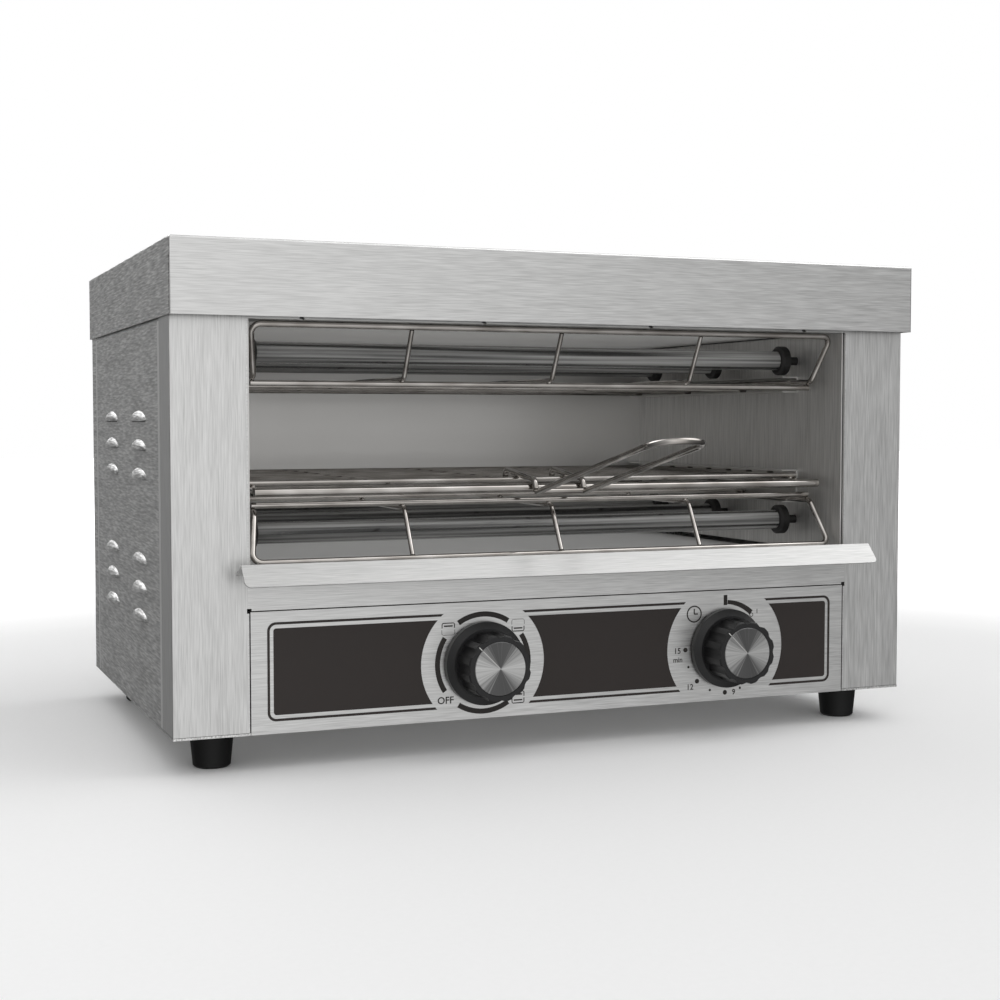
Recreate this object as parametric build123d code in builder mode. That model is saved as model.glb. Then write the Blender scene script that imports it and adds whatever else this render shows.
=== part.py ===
from build123d import *
import os

os.makedirs("parts", exist_ok=True)

# Open-fronted toaster with quartz heating tubes, in millimetres. +Z is up, the open front faces -Y
# and the origin is under the middle of the whole outline, on the floor.
# Depths written "d" are measured backwards from the front face of the casing.

# Casing
cover_w = 450.0  # width over the top cover, the size the others were scaled from
cover_side = 1.3  # the cover stands this far outside the casing at each side
cover_front = 8.6
cover_rear = 1.9
cover_h = 39.5
body_w = cover_w - 2 * cover_side
half_w = body_w / 2
body_d = 273.0
sheet = 1.0  # casing sheet
thin = 0.8  # chamber and runner sheet
fold_r = 1.2  # outside radius of the casing's folds
seam = 0.6  # gap between neighbouring sheets
flange = 14.0  # height of the base plate's turned-up edges
tongue = 12.0  # how far a side panel reaches behind its neighbours

# Heights, from the floor up
foot_h = 20.0
base_t = 1.2
panel_h = 65.5
sill_h = 15.1
open_h = 137.0
base_top = foot_h + base_t
wall_z = base_top + 0.2  # casing sheets stand just clear of the base plate's upper face
panel_top = foot_h + panel_h
open_low = panel_top + sill_h
lintel_low = open_low + open_h
cover_low = lintel_low + 0.9
top_z = cover_low + cover_h
under_cover = top_z - sheet
corner_cut = cover_low + cover_h / 2  # above this the casing's corners are cut clear of the cover's folds

# Front frame
column_w = 40.4
open_x = half_w - column_w
return_d = 28.0
rear_return_d = 16.0
jamb_d = 10.0
lintel_d = 25.0
notch_r = 1.3  # drip notches in the fold over the opening
notch_step = 2 * (open_x - 29.25) / 3
sill_d = 14.0  # the chamber's floor and reflector begin where the sill ends

# Rear panel
rear_stand = 4.0  # the cable bush and the cover's screws stand this far out at the back
rear_reach = body_d + rear_stand
gland_x = 73.7 - half_w
gland_z = foot_h + 32.0
gland_bore = 4.2
gland_hole = 8.0
rear_rows = (foot_h + 25.0, foot_h + 110.0, cover_low - 23.5)
rear_screw_x = half_w - 11.7
cover_screw_x = (63.7 - half_w, 0.0, half_w - 63.7)
cover_screw_z = cover_low + 19.5
head_r = 3.6
head_h = 2.0
terminal_d = body_d - 58.0

# Reach of the handle in front; with the reach at the back it sets the middle of the outline
wire_handle = 3.4
loop_reach = 135.3
front_y = (loop_reach + wire_handle / 2 - rear_reach) / 2

# Feet
foot_x = half_w - 25.7
foot_d = 27.0
foot_r_top = 12.0
foot_r_low = 10.0
screw_r = 2.0
screw_hole_r = 2.2
foot_well_r = 5.2
foot_well_h = 8.0

# Louvres pressed into the side panels
louvre_len = 50.0
louvre_out = 3.2
louvre_axis = 4.0  # the louvres are parts of a barrel whose axis lies this far behind the sheet's face
louvre_d = (94.0, body_d - 81.0)
louvre_pitch = 16.1
louvre_groups = (foot_h + 52.3, foot_h + 132.3)
louvre_rows = [low + i * louvre_pitch for low in louvre_groups for i in range(3)]
panel_high = cover_low - 1.5

# Chamber
wall_set = 1.2  # its walls stand this far inside the opening
side_play = 2.8  # tray and guards clear its walls by this
rear_play = 5.5  # tray and runners end this far before its back, which stands as far before the rear
wall_x = open_x - wall_set
wall_low = open_low + 4.0
back_d = body_d - rear_play
floor_low = open_low - 10.0
floor_top = open_low - 0.2
ceiling_low = lintel_low + thin

# Heating tubes
tube_r = 6.0
tube_bore = 5.0
core_r = 2.4
cap_r = 9.1
cap_len = 5.8
cap_stand = 9.0  # the cap's wide end stands this far off the wall
neck_r = 2.6
neck_out = 10.0
pin_r = 1.6
pin_out = 22.0
tube_first = 52.5
tube_last = back_d - 45.0
tube_d = (tube_first, (tube_first + tube_last) / 2, tube_last)
tube_high = lintel_low - 15.2
tube_low = open_low + 21.7
socket = 4.0  # how far a tube sits in its cap

# Runners, guards and rack
runner_front = 50.0
runner_rear = back_d - rear_play
lip_w = 11.1
lip_in = wall_x - lip_w
lip_low = tube_low + 11.7  # upper faces of the three lower lips and of the upper runner's lower lip
lip_mid = lip_low + 9.6
lip_high = lip_mid + 10.1
lip_upper = tube_high - 19.1
runner_upper_h = 9.2
guard_r = 1.7
bar_r = 1.3
guard_x = wall_x - side_play
guard_front = 9.5
guard_bend = 24.0
guard_end = back_d - 11.5
guard_fillet = 5.0
rail_first = 27.8
rail_last = guard_end - 4.0
rail_count = 4
rail_d = [rail_first + i * (rail_last - rail_first) / (rail_count - 1) for i in range(rail_count)]
rail_x = guard_x - 4.7  # the loop draws in from its front corners to the ends of the cross wires
bar_x = (-guard_x / 2, 0.0, guard_x / 2)
rail_z_up = lip_upper + guard_r
loop_z_up = rail_z_up + 2 * guard_r
bar_z_up = rail_z_up + guard_r + bar_r
loop_z_low = lip_low + guard_r
rail_z_low = loop_z_low + 2 * guard_r
bar_z_low = rail_z_low - guard_r - bar_r
guard_top = lintel_low - 0.2 - guard_r
guard_foot = open_low + 9.0
slide_gap = 0.3
frame_r = 2.5
rod_r = 1.7
rack_z = lip_mid + slide_gap + frame_r
rod_z = rack_z + frame_r + rod_r
rack_front = 18.0
rack_rear = back_d - 20.5
rack_x = lip_in + frame_r
rod_first = 40.4
rod_last = rack_rear - 21.8
rod_count = 8
rod_pitch = (rod_last - rod_first) / (rod_count - 1)
handle_x = 15.0
handle_r = wire_handle / 2
handle_rise = 28.6
handle_dip = 1.6  # the handle's foot lies this far under the rack's front rod
handle_bends = (3.0, 3.0, 3.0, 14.5)  # from the hook to the round end

# Crumb tray
tray_x = wall_x - side_play
tray_rear = back_d - rear_play
tray_top = open_low + 1.4
lip_x = open_x + 7.7
lip_crest = (-15.0, open_low + 10.6)
lip_edge = (-25.0, open_low)
ramp_d = 4.0
tray_wall = 4.0

# Controls
knob_z = foot_h + 31.0
selector_x = -52.0
timer_x = 101.5
skirt_r = 23.15
skirt_top = 4.2
grip_r = 18.3
grip_start = 6.6
knob_front = 25.2
knob_gap = 0.8
disc_r = 14.75
flutes = 12
flute_r = 4.6
flute_out = 3.3  # the flutes' centres lie this far outside the grip
shaft_r = 3.0
shaft_run = 0.05  # clearance of a shaft in its bush, and of tubes and pins in their caps
bush_r = 4.8
fixing_step = 16.0
fixing_r = 1.5
fixing_head_r = 2.8
film = 0.15
label_x = open_x - 9.4
label_low = foot_h + 6.6
label_high = panel_top - 6.4
label_line = 1.35
field_inset = 3.3
ring_selector = 36.6
ring_timer = 38.6


def block(x0, x1, d0, d1, z0, z1, mode=Mode.ADD):
    """Add or cut a block between two limits on each axis; d is depth behind the front face."""
    with Locations(((x0 + x1) / 2, front_y + (d0 + d1) / 2, (z0 + z1) / 2)):
        Box(abs(x1 - x0), d1 - d0, z1 - z0, mode=mode)


def round_x(x0, x1, d, z, radius, mode=Mode.ADD):
    """Add or cut a round bar along X."""
    with Locations((0.5 * (x0 + x1), front_y + d, z)):
        Cylinder(radius, abs(x1 - x0), rotation=(0, 90, 0), mode=mode)


def round_y(x, d0, d1, z, radius, mode=Mode.ADD):
    """Add or cut a round bar along Y between two depths."""
    with Locations((x, front_y + 0.5 * (d0 + d1), z)):
        Cylinder(radius, d1 - d0, rotation=(90, 0, 0), mode=mode)


def round_z(x, d, z0, z1, radius, mode=Mode.ADD):
    """Add or cut an upright round bar between two heights."""
    with Locations((x, front_y + d, 0.5 * (z0 + z1))):
        Cylinder(radius, z1 - z0, mode=mode)


def keep(name, part):
    """Name a finished piece and write it out."""
    part.label = name
    export_step(part, f"parts/{name}.step")


def at(x, d, z):
    """A point given by its depth behind the front face."""
    return (x, front_y + d, z)


foot_spots = [(sx * foot_x, d) for d in (foot_d, body_d - foot_d) for sx in (-1, 1)]

# Base plate: carries the casing, with turned-up edges inside the panels and cooling slots
with BuildPart() as base_pan:
    block(-half_w, half_w, 0, body_d, foot_h, base_top)
    block(-open_x, open_x, 0, sheet, foot_h, base_top, Mode.SUBTRACT)
    block(-open_x + flange, open_x - flange, sheet, 2 * sheet, base_top, base_top + flange / 2)
    block(-foot_x, foot_x, body_d - 2 * sheet, body_d - sheet, base_top, base_top + flange)
    for side in (-1, 1):
        inner = side * (half_w - 3 * sheet)
        block(inner, inner + side * sheet, 3 * flange, body_d - 3 * flange, base_top, base_top + flange)
    with Locations(at(0, body_d / 2, foot_h + base_t / 2)):
        with GridLocations(60, 46, 5, 3):
            Box(40, 5, 3 * base_t, mode=Mode.SUBTRACT)
    for x, d in foot_spots:
        round_z(x, d, foot_h - 1, base_top + 1, screw_hole_r, Mode.SUBTRACT)
keep("base_pan", base_pan.part)

# Four moulded feet, tapered, each with a well for its screw
with BuildPart() as rubber_feet:
    for x, d in foot_spots:
        with Locations(at(x, d, foot_h / 2)):
            Cone(foot_r_low, foot_r_top, foot_h)
    chamfer(rubber_feet.edges().group_by(Axis.Z)[0], 1.2)
    for x, d in foot_spots:
        round_z(x, d, 0, foot_well_h, foot_well_r, Mode.SUBTRACT)
        round_z(x, d, 0, foot_h, screw_hole_r, Mode.SUBTRACT)
keep("rubber_feet", rubber_feet.part)

# Foot screws with their nuts
with BuildPart() as foot_fixings:
    for x, d in foot_spots:
        round_z(x, d, foot_well_h - 3, foot_well_h, 4.0)
        round_z(x, d, foot_well_h, base_top + 6, screw_r)
        with BuildSketch(Plane(at(x, d, base_top))):
            RegularPolygon(4.0, 6)
            Circle(screw_r + 0.05, mode=Mode.SUBTRACT)
        extrude(amount=3.2)
keep("foot_fixings", foot_fixings.part)

# Front frame: two columns, sill and the hidden lintel in one folded plate
with BuildPart() as front_frame:
    block(-half_w, half_w, 0, sheet, wall_z, under_cover)
    for side in (-1, 1):
        outer = side * half_w
        block(outer, outer - side * sheet, 0, return_d, wall_z, corner_cut)
        block(outer, outer - side * 3 * fold_r, -1, 2 * sheet, corner_cut, top_z, Mode.SUBTRACT)
    corners = front_frame.edges().filter_by(Axis.Z).filter_by(
        lambda e: abs(e.center().Y - front_y) < 0.01 and abs(abs(e.center().X) - half_w) < 0.01
    )
    fillet(corners, fold_r / 2)
    block(-open_x, open_x, -1, 2 * sheet, open_low, lintel_low, Mode.SUBTRACT)
    block(-open_x, open_x, -1, 2 * sheet, foot_h, panel_top, Mode.SUBTRACT)
    for side in (-1, 1):
        edge = side * open_x
        block(edge, edge + side * sheet, 0, jamb_d, open_low + seam, lintel_low - seam)
        block(edge - 1.2, edge + 1.2, -1, 2, panel_top - 1.2, panel_top + 1.2, Mode.SUBTRACT)
    block(-open_x, open_x, 0, lintel_d, lintel_low, lintel_low + thin)
    block(-open_x, open_x, 0, sill_d, open_low - sheet, open_low)
    for i in range(4):
        round_y((i - 1.5) * notch_step, -1, 3 * sheet, lintel_low + notch_r / 2, notch_r, Mode.SUBTRACT)
keep("front_frame", front_frame.part)


def scoop(inset):
    """Half of a long barrel whose axis lies behind the sheet; what stands out of the sheet is a louvre."""
    arch_r = (louvre_len ** 2 / 4 + louvre_out ** 2) / (2 * louvre_out)
    crest = louvre_out - inset
    middle = louvre_out - arch_r
    half = ((crest - middle) ** 2 - (louvre_axis + middle) ** 2) ** 0.5
    with BuildPart() as barrel:
        with BuildSketch(Plane.XY):
            with BuildLine():
                arch = ThreePointArc((-louvre_axis, -half), (crest, 0), (-louvre_axis, half))
                Line(arch @ 1, arch @ 0)
            make_face()
        revolve(axis=Axis((-louvre_axis, 0, 0), (0, -1, 0)), revolution_arc=90)
    return barrel.part


louvre_room = (2 * louvre_axis, 2 * louvre_len, 4 * louvre_axis)

# One louvre: the bulge itself, and the hollow that opens it downwards and through the sheet
with BuildPart() as louvre_skin:
    add(scoop(0))
    with Locations((-sheet / 2, 0, 0)):
        Box(*louvre_room, align=(Align.MIN, Align.CENTER, Align.MIN), mode=Mode.INTERSECT)

with BuildPart() as louvre_hollow:
    add(scoop(thin))
    extrude(louvre_hollow.faces().sort_by(Axis.Z)[0], amount=thin / 2)
    with Locations((-1.5 * sheet, 0, -thin)):
        Box(*louvre_room, align=(Align.MIN, Align.CENTER, Align.MIN), mode=Mode.INTERSECT)


def side_panel(side):
    """One side panel with its twelve pressed louvres and its tongues behind the neighbouring sheets."""
    outer = side * half_w
    inner = outer - side * sheet
    deep = inner - side * sheet
    behind_cover = panel_high + cover_h / 2
    front_edge = return_d + seam
    rear_edge = body_d - rear_return_d - seam
    spots = [at(outer, d, z) for d in louvre_d for z in louvre_rows]
    with BuildPart() as panel:
        block(inner, outer, front_edge, rear_edge, wall_z, panel_high)
        with Locations(*spots):
            add(louvre_skin.part, rotation=(0, 0, 0 if side > 0 else 180))
        with Locations(*spots):
            add(louvre_hollow.part, rotation=(0, 0, 0 if side > 0 else 180), mode=Mode.SUBTRACT)
        block(deep, inner, front_edge - tongue, front_edge + tongue, wall_z + tongue, behind_cover)
        block(deep, inner, rear_edge - tongue, body_d - sheet, base_top + flange + 1, behind_cover)
        block(deep, inner, front_edge, rear_edge, panel_high - tongue, behind_cover)
        block(deep, deep - side * flange, body_d - 2 * sheet, body_d - sheet, base_top + flange + 1, panel_high)
        for z in rear_rows:
            round_y(side * rear_screw_x, body_d - 3, body_d, z, screw_hole_r, Mode.SUBTRACT)
    return panel.part


keep("side_panel_left", side_panel(-1))
keep("side_panel_right", side_panel(1))

# Rear panel: folded forwards at both sides, with cooling slots and the hole for the cable bush
with BuildPart() as rear_panel:
    block(-half_w, half_w, body_d - sheet, body_d, wall_z, under_cover)
    for side in (-1, 1):
        outer = side * half_w
        block(outer, outer - side * sheet, body_d - rear_return_d, body_d, wall_z, corner_cut)
        block(outer, outer - side * 3 * fold_r, body_d - 2 * sheet, body_d + 1, corner_cut, top_z, Mode.SUBTRACT)
    folds = rear_panel.edges().filter_by(Axis.Z).filter_by(
        lambda e: abs(e.center().Y - front_y - body_d) < 0.01 and abs(abs(e.center().X) - half_w) < 0.01
    )
    fillet(folds, fold_r / 2)
    with Locations(at(60, body_d - sheet / 2, 60)):
        with GridLocations(18, 1, 10, 1):
            Box(5, 3 * sheet, 40, mode=Mode.SUBTRACT)
    round_y(gland_x, body_d - 2, body_d + 1, gland_z, gland_hole, Mode.SUBTRACT)
    for side in (-1, 1):
        for z in rear_rows:
            round_y(side * rear_screw_x, body_d - 2, body_d + 1, z, screw_hole_r, Mode.SUBTRACT)
    for x in cover_screw_x:
        round_y(x, body_d - 2, body_d + 1, cover_screw_z, screw_hole_r, Mode.SUBTRACT)
keep("rear_panel", rear_panel.part)

# Top cover: a shallow lid with folded skirts on all four sides
with BuildPart() as top_cover:
    block(-cover_w / 2, cover_w / 2, -cover_front, body_d + cover_rear, cover_low, top_z)
    fillet(top_cover.edges().filter_by(Axis.Z), fold_r)
    fillet(top_cover.edges().group_by(Axis.Z)[-1], fold_r)
    offset(amount=-sheet, openings=top_cover.faces().sort_by(Axis.Z)[0])
    for x in cover_screw_x:
        round_y(x, body_d, body_d + 4, cover_screw_z, screw_hole_r, Mode.SUBTRACT)
keep("top_cover", top_cover.part)


def pan_screw(x, seat_d, z, length):
    """A cross-headed screw driven forwards from behind, its head resting at the given depth."""
    round_y(x, seat_d, seat_d + head_h, z, head_r)
    round_y(x, seat_d - length, seat_d, z, screw_r)
    block(x - 2, x + 2, seat_d + 1, seat_d + 3, z - 0.45, z + 0.45, Mode.SUBTRACT)
    block(x - 0.45, x + 0.45, seat_d + 1, seat_d + 3, z - 2, z + 2, Mode.SUBTRACT)


with BuildPart() as rear_screws:
    for side in (-1, 1):
        for z in rear_rows:
            pan_screw(side * rear_screw_x, body_d, z, 8)
keep("rear_screws", rear_screws.part)

with BuildPart() as cover_screws:
    for x in cover_screw_x:
        pan_screw(x, body_d + cover_rear, cover_screw_z, 8)
keep("cover_screws", cover_screws.part)

# Cable bush in the rear panel; its collar and the screw heads reach equally far back
with BuildPart() as cable_bush:
    round_y(gland_x, body_d, rear_reach, gland_z, gland_hole + 3)
    round_y(gland_x, body_d - 6, body_d, gland_z, gland_hole)
    chamfer(cable_bush.faces().sort_by(Axis.Y)[-1].edges(), 1.2)
    round_y(gland_x, body_d - 8, rear_reach + 1, gland_z, gland_bore, Mode.SUBTRACT)
keep("cable_bush", cable_bush.part)

# Control panel: removable plate with turned-back edges
with BuildPart() as control_panel:
    edge = open_x - seam
    high = panel_top - seam
    block(-edge, edge, 0, sheet, foot_h, high)
    block(-edge, edge, 0, 12, high - sheet, high)
    for side in (-1, 1):
        block(side * edge, side * (edge - sheet), 0, 12, base_top + 1, high)
    for x in (selector_x, timer_x):
        round_y(x, -1, 2, knob_z, bush_r + 0.2, Mode.SUBTRACT)
        for step in (-fixing_step, fixing_step):
            round_y(x + step, -1, 2 * sheet, knob_z, fixing_r + 0.2, Mode.SUBTRACT)
keep("control_panel", control_panel.part)

# Printed film on the control panel: dark field and border line, both left open round the knobs
with BuildPart() as control_label:
    mid_z = (label_low + label_high) / 2
    tall = label_high - label_low
    with BuildSketch(Plane((0, front_y, mid_z), x_dir=(1, 0, 0), z_dir=(0, -1, 0))):
        RectangleRounded(2 * label_x, tall, 4.6)
        RectangleRounded(2 * (label_x - label_line), tall - 2 * label_line, 3.4, mode=Mode.SUBTRACT)
        RectangleRounded(2 * (label_x - field_inset), tall - 2 * field_inset, 1.6)
        with Locations((selector_x, knob_z - mid_z)):
            Circle(ring_selector, mode=Mode.SUBTRACT)
        with Locations((timer_x, knob_z - mid_z)):
            Circle(ring_timer, mode=Mode.SUBTRACT)
    extrude(amount=film)
keep("control_label", control_label.part)


def chamber_wall(side):
    """One side wall of the chamber, with holes for the necks of the tube caps."""
    inner = side * wall_x
    with BuildPart() as wall:
        block(inner, inner + side * thin, 2 * sheet, back_d, wall_low, ceiling_low - thin)
        for d in tube_d:
            for z in (tube_low, tube_high):
                round_x(inner - 2, inner + 2, d, z, neck_r + 0.2, Mode.SUBTRACT)
    return wall.part


keep("chamber_wall_left", chamber_wall(-1))
keep("chamber_wall_right", chamber_wall(1))

with BuildPart() as chamber_back:
    block(-open_x, open_x, back_d, back_d + thin, floor_top - 6, ceiling_low)
    block(-open_x, open_x, back_d, body_d - sheet, floor_top - 6, floor_top - 6 + thin)
keep("chamber_back", chamber_back.part)

with BuildPart() as upper_reflector:
    block(-open_x, open_x, sill_d, back_d + thin, ceiling_low, ceiling_low + thin)
    block(-open_x, open_x, back_d, back_d + thin, ceiling_low, ceiling_low + 8)
keep("upper_reflector", upper_reflector.part)

with BuildPart() as chamber_floor:
    block(-open_x, open_x, sill_d, back_d, floor_top - thin, floor_top)
    for side in (-1, 1):
        block(side * open_x, side * (open_x - thin), sill_d, back_d, floor_low, floor_top)
keep("chamber_floor", chamber_floor.part)


def runner(side, lips):
    """A folded channel on a chamber wall; lips are the heights of the upper faces of its ledges."""
    web = side * (wall_x - thin)
    with BuildPart() as channel:
        block(web, side * wall_x, runner_front, runner_rear, lips[0] - thin, lips[-1])
        for z in lips:
            block(side * lip_in, web, runner_front, runner_rear, z - thin, z)
    return channel.part


for name, side in (("left", -1), ("right", 1)):
    keep(f"runner_lower_{name}", runner(side, (lip_low, lip_mid, lip_high)))
    keep(f"runner_upper_{name}", runner(side, (lip_upper, lip_upper + runner_upper_h)))


def guard_loop(flat_z, front_z):
    """The guard's outer wire: along one side, up the slanted front, across, and back along the other."""
    half = [at(rail_x, guard_end, flat_z), at(rail_x, guard_bend, flat_z), at(guard_x, guard_front, front_z)]
    mirrored = [(-x, y, z) for x, y, z in half]
    with BuildPart() as loop:
        with BuildLine() as path:
            FilletPolyline(*mirrored, *reversed(half), radius=guard_fillet)
        with BuildSketch(Plane(mirrored[0], z_dir=(0, -1, 0))):
            Circle(guard_r)
        sweep(path=path.wire())
    return loop.part


def guard_rails(z):
    """The straight cross wires of a guard."""
    with BuildPart() as rails:
        for d in rail_d:
            round_x(-rail_x - guard_r / 2, rail_x + guard_r / 2, d, z, guard_r)
    return rails.part


def guard_bars(flat_z, loop_z, front_z):
    """Three bent wires that run from the front rail down the slant and back over the cross wires."""
    run = Vector(0, guard_front - guard_bend, front_z - loop_z).normalized()
    bend_d = guard_bend + run.Y / run.Z * (flat_z - loop_z)
    with BuildPart() as bars:
        for x in bar_x:
            tip = Vector(at(x, guard_front, front_z)) - run * guard_r
            with BuildLine() as path:
                FilletPolyline(at(x, guard_end, flat_z), at(x, bend_d, flat_z), tip, radius=guard_fillet / 2)
            with BuildSketch(Plane(at(x, guard_end, flat_z), z_dir=(0, -1, 0))):
                Circle(bar_r)
            sweep(path=path.wire())
    return bars.part


keep("upper_guard_loop", guard_loop(loop_z_up, guard_top))
keep("upper_guard_rails", guard_rails(rail_z_up))
keep("upper_guard_bars", guard_bars(bar_z_up, loop_z_up, guard_top))
keep("lower_guard_loop", guard_loop(loop_z_low, guard_foot))
keep("lower_guard_rails", guard_rails(rail_z_low))
keep("lower_guard_bars", guard_bars(bar_z_low, loop_z_low, guard_foot))

# Toast rack: a frame of thick rods that slides in the runners, with thin rods across the top
with BuildPart() as rack_frame:
    for d in (rack_front, rack_rear):
        round_x(-rack_x - frame_r, rack_x + frame_r, d, rack_z, frame_r)
    for side in (-1, 1):
        round_y(side * rack_x, rack_front + frame_r, rack_rear - frame_r, rack_z, frame_r)
keep("rack_frame", rack_frame.part)

with BuildPart() as rack_rods:
    for i in range(rod_count):
        round_x(-rack_x - 1, rack_x + 1, rod_first + i * rod_pitch, rod_z, rod_r)
keep("rack_rods", rack_rods.part)

# Handle: one bent wire that hooks behind the first thin rod, dips in front of the thick rod and rises to a loop
with BuildPart() as rack_handle:
    over = rod_z + rod_r + handle_r + 0.08
    hook_d = rod_first + 17.1
    leg = [
        at(handle_x, hook_d, over - 3),
        at(handle_x, hook_d, over + 2),
        at(handle_x, 14.3, over - 3.05),
        at(handle_x, 11.8, rack_z - handle_dip - 0.6),
        at(handle_x, -loop_reach, rack_z + handle_rise),
    ]
    mirrored = [(-x, y, z) for x, y, z in leg]
    bends = [*handle_bends, *reversed(handle_bends)]
    with BuildLine() as path:
        FilletPolyline(*mirrored, *reversed(leg), radius=bends)
    with BuildSketch(Plane(mirrored[0], z_dir=(0, 0, 1))):
        Circle(handle_r)
    sweep(path=path.wire())
    round_x(-handle_x + handle_r / 2, handle_x - handle_r / 2, 11.5, rack_z - handle_dip, handle_r)
keep("rack_handle", rack_handle.part)


def thick(points, t):
    """Close a folded strip: the points are one face, the other lies t to the right of the way they run."""
    line = [Vector(*p) for p in points]
    ways = [(b - a).normalized() for a, b in zip(line, line[1:])]
    sides = [Vector(w.Y, -w.X) for w in ways]
    joints = [(a + b) / (1 + a.dot(b)) for a, b in zip(sides, sides[1:])]
    steps = [sides[0], *joints, sides[-1]]
    return [*line, *reversed([p + s * t for p, s in zip(line, steps)])]


# Crumb tray: flat pan with a low rear wall and a raised front folded over as a wide pull
with BuildPart() as crumb_tray:
    fold = [(tray_rear, tray_top + tray_wall), (tray_rear, tray_top), (ramp_d, tray_top), lip_crest, lip_edge]
    with BuildSketch(Plane((-lip_x, front_y, 0), x_dir=(0, 1, 0), z_dir=(1, 0, 0))):
        with BuildLine():
            Polyline(*thick(fold, -thin), close=True)
        make_face()
    extrude(amount=2 * lip_x)
    for side in (-1, 1):
        block(side * tray_x, side * (lip_x + 1), -3, tray_rear + 2, tray_top - 5, tray_top + 20, Mode.SUBTRACT)
    tips = crumb_tray.edges().filter_by(lambda e: e.length < 1.2 and abs(abs(e.center().X) - lip_x) < 0.1)
    fillet(tips.sort_by(Axis.Z)[0:2], 3.4)
keep("crumb_tray", crumb_tray.part)


def tubes(z, outer, bore, reach):
    """Three round bars or pipes along X at one height."""
    with BuildPart() as row:
        for d in tube_d:
            round_x(-reach, reach, d, z, outer)
            if bore:
                round_x(-reach, reach, d, z, bore, Mode.SUBTRACT)
    return row.part


cap_face = wall_x - cap_stand - cap_len
cap_end = cap_len + cap_stand + neck_out
tube_end = cap_face + socket
for name, z in (("upper", tube_high), ("lower", tube_low)):
    keep(f"quartz_tubes_{name}", tubes(z, tube_r, tube_bore, tube_end))
    keep(f"heater_cores_{name}", tubes(z, core_r, 0, tube_end))

# One ceramic cap with its mouth at x = 0: socket for the tube, and a neck that runs through the wall
with BuildPart() as ceramic_cap:
    with Locations((cap_len / 2, 0, 0)):
        Cylinder(cap_r, cap_len, rotation=(0, 90, 0))
    chamfer(ceramic_cap.faces().sort_by(Axis.X)[0].edges(), 1.6)
    with Locations(((cap_len + cap_end) / 2, 0, 0)):
        Cylinder(neck_r, cap_end - cap_len, rotation=(0, 90, 0))
    with Locations((socket / 2, 0, 0)):
        Cylinder(tube_r + shaft_run, socket, rotation=(0, 90, 0), mode=Mode.SUBTRACT)
    with Locations(((socket + cap_end) / 2, 0, 0)):
        Cylinder(pin_r + shaft_run, cap_end - socket, rotation=(0, 90, 0), mode=Mode.SUBTRACT)

for name, z in (("upper", tube_high), ("lower", tube_low)):
    with BuildPart() as caps:
        for d in tube_d:
            with Locations(at(cap_face, d, z)):
                add(ceramic_cap.part)
            with Locations(at(-cap_face, d, z)):
                add(ceramic_cap.part, rotation=(0, 0, 180))
    keep(f"ceramic_caps_{name}", caps.part)

with BuildPart() as element_pins:
    for side in (-1, 1):
        for d in tube_d:
            for z in (tube_high, tube_low):
                round_x(side * (tube_end + 2), side * (wall_x + pin_out), d, z, pin_r)
keep("element_pins", element_pins.part)


def knob_plane(x):
    """The plane of a knob on the panel, its normal pointing out of the front."""
    return Plane((x, front_y, knob_z), x_dir=(1, 0, 0), z_dir=(0, -1, 0))


base = (Align.CENTER, Align.CENTER, Align.MIN)


def knob(x):
    """A skirted knob with a fluted grip, hollow below and recessed in front for its metal disc."""
    with BuildPart(knob_plane(x)) as body:
        with Locations((0, 0, knob_gap)):
            Cylinder(skirt_r, skirt_top - knob_gap, align=base)
        with Locations((0, 0, skirt_top)):
            Cone(skirt_r, grip_r + 1.2, grip_start - skirt_top, align=base)
        with Locations((0, 0, grip_start)):
            Cylinder(grip_r, knob_front - grip_start, align=base)
        chamfer(body.faces().sort_by(Axis.Y)[0].edges(), 0.7)
        with Locations((0, 0, grip_start)):
            with PolarLocations(grip_r + flute_out, flutes):
                Cylinder(flute_r, knob_front, align=base, mode=Mode.SUBTRACT)
        with Locations((0, 0, knob_front - 1)):
            Cylinder(disc_r + 0.1, 2, align=base, mode=Mode.SUBTRACT)
        Cylinder(skirt_r - 2.6, 3.4, align=base, mode=Mode.SUBTRACT)
        Cylinder(shaft_r, 19, align=base, mode=Mode.SUBTRACT)
    return body.part


def disc(x):
    """The spun metal disc set in a knob's face."""
    with BuildPart(knob_plane(x)) as plate:
        with Locations((0, 0, knob_front - 1)):
            Cylinder(disc_r, 1.2, align=base)
        chamfer(plate.faces().sort_by(Axis.Y)[0].edges(), 0.3)
    return plate.part


def shaft(x):
    """The shaft that carries a knob and turns in the bush of its switch or timer."""
    with BuildPart() as spindle:
        round_y(x, -19, 22, knob_z, shaft_r)
    return spindle.part


for name, x in (("selector", selector_x), ("timer", timer_x)):
    keep(f"{name}_knob", knob(x))
    keep(f"{name}_disc", disc(x))
    keep(f"{name}_shaft", shaft(x))


def drill(x):
    """Bore a control for its shaft and its two fixing screws."""
    round_y(x, -4, 24, knob_z, shaft_r + shaft_run, Mode.SUBTRACT)
    for step in (-fixing_step, fixing_step):
        round_y(x + step, 0, 9, knob_z, fixing_r + shaft_run, Mode.SUBTRACT)


# Rotary switch behind the selector knob
with BuildPart() as selector_switch:
    block(selector_x - 22, selector_x + 22, sheet, 36, knob_z - 22, knob_z + 22)
    fillet(selector_switch.edges().filter_by(Axis.Y), 3)
    block(selector_x - 18, selector_x + 18, 36, 44, knob_z - 18, knob_z + 18)
    round_y(selector_x, -2.2, sheet, knob_z, bush_r)
    drill(selector_x)
keep("selector_switch", selector_switch.part)

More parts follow.
